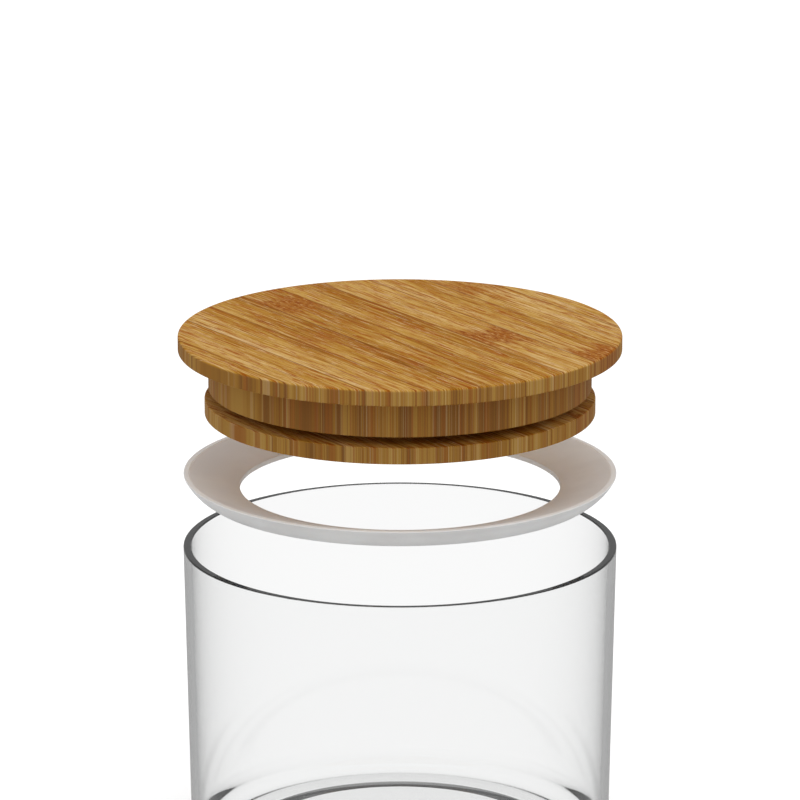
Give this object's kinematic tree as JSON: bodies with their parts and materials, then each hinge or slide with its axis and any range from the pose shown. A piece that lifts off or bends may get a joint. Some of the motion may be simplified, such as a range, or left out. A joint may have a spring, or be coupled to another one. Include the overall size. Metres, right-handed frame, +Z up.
{
  "type": "lidded glass canister",
  "caption": "Round clear glass canister with a stepped bamboo push-in lid and a flared silicone seal, stored with the lid and the seal lifted off.",
  "frame": {"origin": "centre of the jar's base, on the surface that it stands on", "axes": "+Z up along the jar's axis, towards the lid; the lid's grain runs 56 degrees clockwise from +X, seen from above"},
  "size_m": [0.1016, 0.1016, 0.1241],
  "materials": {
    "clear_glass": "clear, smooth, polished",
    "silicone": "translucent, matte",
    "bamboo": "laminated strips, clear matte oil"
  },
  "bodies": {
    "jar": {"glass_jar": "clear_glass"},
    "lid": {"lid_strip_01": "bamboo", "lid_strip_02": "bamboo", "lid_strip_03": "bamboo", "lid_strip_04": "bamboo", "lid_strip_05": "bamboo", "lid_strip_06": "bamboo", "lid_strip_07": "bamboo", "lid_strip_08": "bamboo", "lid_strip_09": "bamboo", "lid_strip_10": "bamboo"},
    "seal": {"silicone_seal": "silicone"}
  },
  "joints": [
    {"name": "lid_lift", "type": "slide", "parent": "jar", "child": "lid", "axis": [0, 0, 1], "range_m": [-0.04645, 0], "deforming": ["silicone_seal"]},
    {"name": "seal_seat", "type": "slide", "parent": "lid", "child": "seal", "axis": [0, 0, 1], "range_m": [0, 0.0226]}
  ],
  "couplings": [
    {"joint": "seal_seat", "follows": "lid_lift", "ratio": -0.484}
  ]
}
